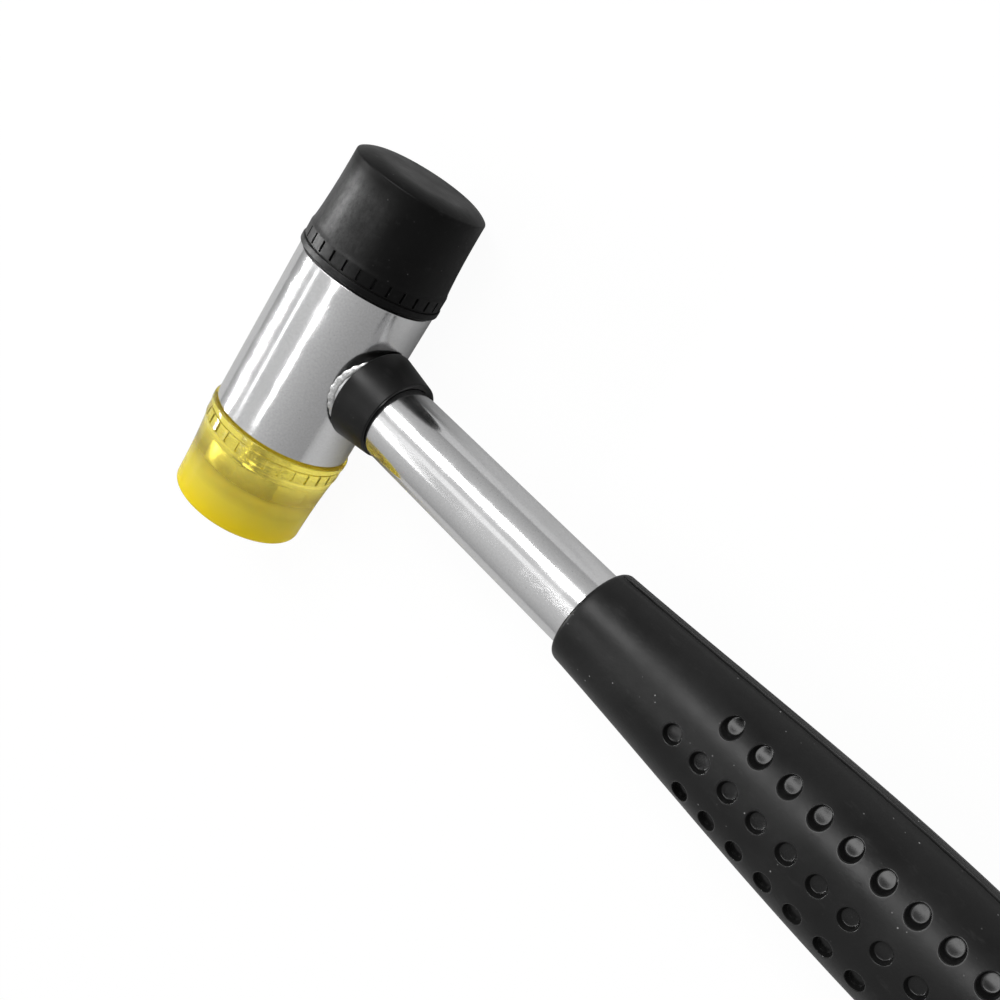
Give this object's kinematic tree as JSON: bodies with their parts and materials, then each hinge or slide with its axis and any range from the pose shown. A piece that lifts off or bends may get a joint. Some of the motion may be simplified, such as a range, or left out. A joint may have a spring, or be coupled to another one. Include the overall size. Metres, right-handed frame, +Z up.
{
  "type": "soft face hammer",
  "caption": "Soft face hammer with a chromed head and tubular handle, a moulded grip and screw-in striking faces, one of rubber and one of clear plastic.",
  "frame": {"origin": "under the middle of the hammer's bounding box, on the surface that it lies on", "axes": "+X along the handle towards the grip's butt, +Y along the head towards the rubber face, +Z up from the surface that the hammer lies on"},
  "size_m": [0.2554, 0.082, 0.031],
  "materials": {
    "chrome_head": "polished chrome plate with fine pits and rubbing marks",
    "chrome_tube": "bright chrome plate on drawn tube",
    "weld": "plated weld, rippled",
    "collar_plastic": "satin moulded",
    "grip_plastic": "soft matte moulded vinyl",
    "face_rubber": "satin moulded, slightly scuffed",
    "stud_steel": "plated bolt",
    "face_clear": "clear yellow, slightly cloudy"
  },
  "bodies": {
    "hammer": {"head_body": "chrome_head", "handle_tube": "chrome_tube", "weld_bead": "weld", "collar": "collar_plastic", "grip": "grip_plastic"},
    "rubber_stud": {"rubber_face_stud": "stud_steel"},
    "rubber_face": {"rubber_face": "face_rubber"},
    "clear_stud": {"clear_face_stud": "stud_steel"},
    "clear_face": {"clear_face": "face_clear"}
  },
  "joints": [
    {"name": "rubber_face_travel", "type": "slide", "parent": "hammer", "child": "rubber_stud", "axis": [0, 1, 0], "range_m": [0, 0.01125]},
    {"name": "rubber_face_turn", "type": "hinge", "parent": "rubber_stud", "child": "rubber_face", "pos_m": [-0.11225, 0.0186, 0.0155], "axis": [0, 1, 0], "range_deg": [0, 3240]},
    {"name": "clear_face_travel", "type": "slide", "parent": "hammer", "child": "clear_stud", "axis": [0, -1, 0], "range_m": [0, 0.01125]},
    {"name": "clear_face_turn", "type": "hinge", "parent": "clear_stud", "child": "clear_face", "pos_m": [-0.11225, -0.0186, 0.0155], "axis": [0, -1, 0], "range_deg": [0, 3240]}
  ],
  "couplings": [
    {"joint": "rubber_face_travel", "follows": "rubber_face_turn", "m_per_rad": 0.00019894},
    {"joint": "clear_face_travel", "follows": "clear_face_turn", "m_per_rad": 0.00019894}
  ]
}
